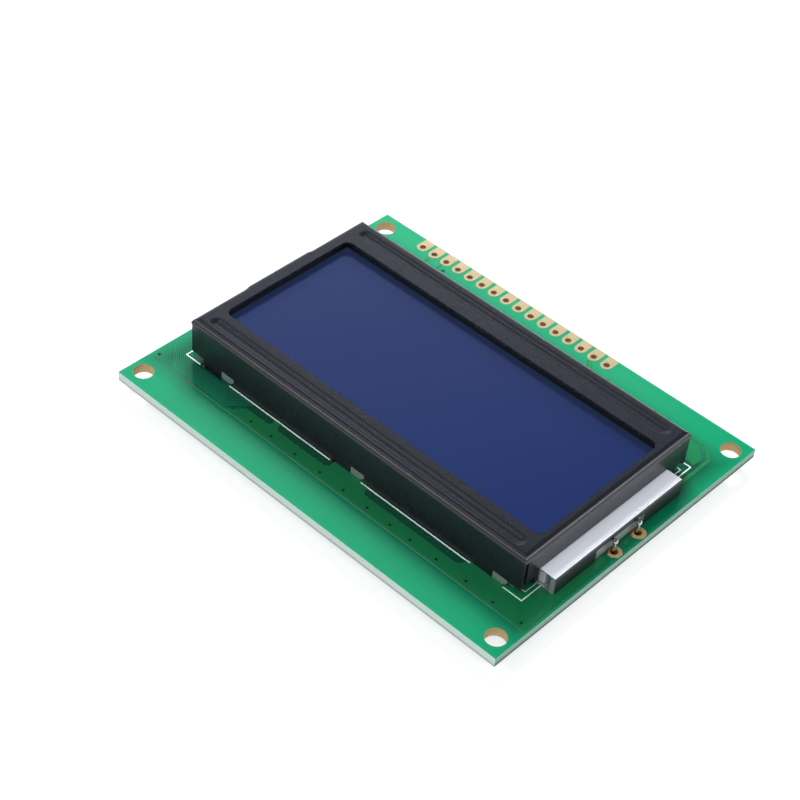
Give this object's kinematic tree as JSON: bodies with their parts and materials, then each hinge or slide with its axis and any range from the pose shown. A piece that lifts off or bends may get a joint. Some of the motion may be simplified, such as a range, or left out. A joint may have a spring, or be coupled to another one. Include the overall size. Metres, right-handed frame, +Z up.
{
  "type": "character lcd module",
  "caption": "Blue negative character display module: glass cell and edge-lit backlight held on a green circuit board by a folded black bezel, with a row of header pads.",
  "frame": {"origin": "centre of the four mounting holes, on the underside of the circuit board", "axes": "+X along the board towards the backlight's lit end, +Y towards the edge with the header pads, +Z up through the display"},
  "size_m": [0.0742, 0.057, 0.0108],
  "materials": {
    "solder_mask": "green solder mask over glass-fibre board",
    "gold_plating": "matt gold-plated copper",
    "black_enamel": "satin black enamel on steel sheet",
    "black_rubber": "matt black",
    "polarizer_film": "smooth tinted film",
    "cell_glass": "clear polished glass",
    "blue_crystal": "deep blue",
    "zebra_rubber": "white silicone",
    "diffuser": "matt milky film",
    "clear_acrylic": "clear moulded acrylic",
    "white_film": "white film",
    "mirror_film": "silvered film",
    "strip_board": "pale coated board",
    "led_resin": "yellow phosphor resin",
    "tinned_wire": "bright tinned wire",
    "solder": "bright solder",
    "black_epoxy": "half-matt poured resin",
    "resistor_body": "black glazed ceramic",
    "capacitor_body": "tan ceramic",
    "tin_terminals": "matt tin"
  },
  "bodies": {
    "root": {"circuit_board": "solder_mask", "header_pads": "gold_plating", "backlight_pads": "gold_plating", "bezel": "black_enamel", "window_gasket": "black_rubber", "front_polarizer": "polarizer_film", "front_glass": "cell_glass", "crystal_layer": "blue_crystal", "rear_glass": "cell_glass", "rear_polarizer": "polarizer_film", "front_zebra": "zebra_rubber", "back_zebra": "zebra_rubber", "diffuser_film": "diffuser", "light_guide": "clear_acrylic", "reflector_film": "white_film", "led_cover": "mirror_film", "led_strip": "strip_board", "led_chips": "led_resin", "backlight_leads": "tinned_wire", "lead_solder": "solder", "controller_glob": "black_epoxy", "driver_globs": "black_epoxy", "chip_resistors": "resistor_body", "resistor_terminals": "tin_terminals", "chip_capacitors": "capacitor_body", "capacitor_terminals": "tin_terminals"}
  },
  "joints": []
}
